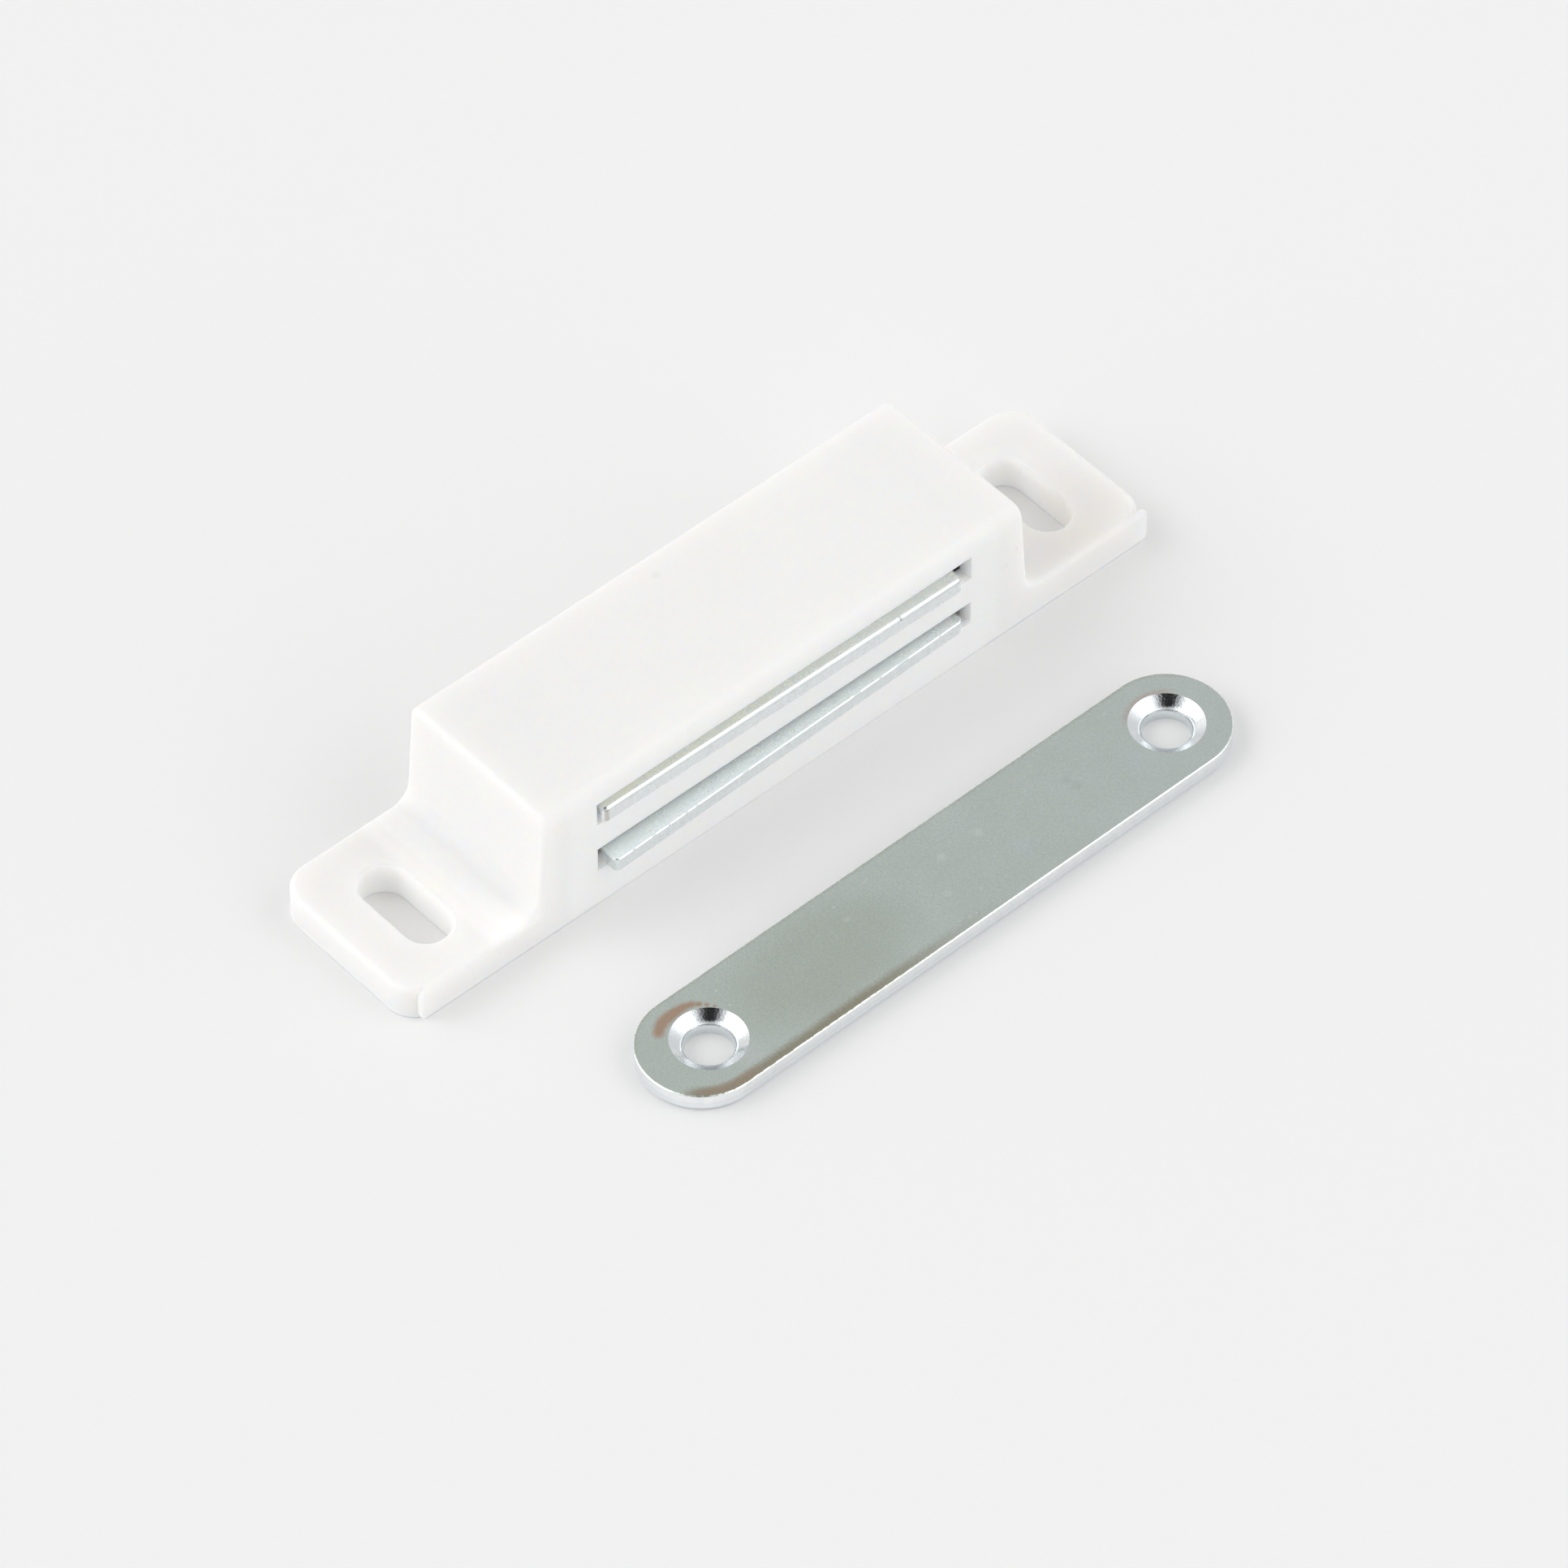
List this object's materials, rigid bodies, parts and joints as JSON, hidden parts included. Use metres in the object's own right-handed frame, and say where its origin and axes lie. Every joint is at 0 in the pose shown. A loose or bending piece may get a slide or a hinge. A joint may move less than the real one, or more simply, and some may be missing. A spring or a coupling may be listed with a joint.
{
  "type": "magnetic catch",
  "caption": "Surface-mounted magnetic door catch: raised housing on slotted feet, floating steel pole plates round a magnet, and a separate countersunk strike plate with rounded ends.",
  "frame": {"origin": "midway between the two screw slots of the housing, on its mounting face", "axes": "+X along the catch, +Z away from the mounting face, -Y the way the pole plates look"},
  "size_m": [0.077, 0.0381, 0.0133],
  "materials": {
    "moulded_plastic": "smooth moulded white, soft gloss",
    "zinc_plated_steel": "bright zinc plating",
    "ferrite": "ground dull ceramic"
  },
  "bodies": {
    "housing": {"housing": "moulded_plastic", "magnet": "ferrite"},
    "upper_pole": {"upper_pole_plate": "zinc_plated_steel"},
    "lower_pole": {"lower_pole_plate": "zinc_plated_steel"},
    "strike": {"strike_plate": "zinc_plated_steel"}
  },
  "joints": [
    {"name": "upper_pole_float", "type": "slide", "parent": "housing", "child": "upper_pole", "axis": [0, -1, 0], "range_m": [-0.0003, 0.00095]},
    {"name": "lower_pole_float", "type": "slide", "parent": "housing", "child": "lower_pole", "axis": [0, -1, 0], "range_m": [-0.0005, 0.0002]},
    {"name": "strike_swing", "type": "hinge", "parent": "housing", "child": "strike", "pos_m": [0, -0.01411, -0.00304], "axis": [1, 0, 0], "range_deg": [-90, 0]}
  ]
}
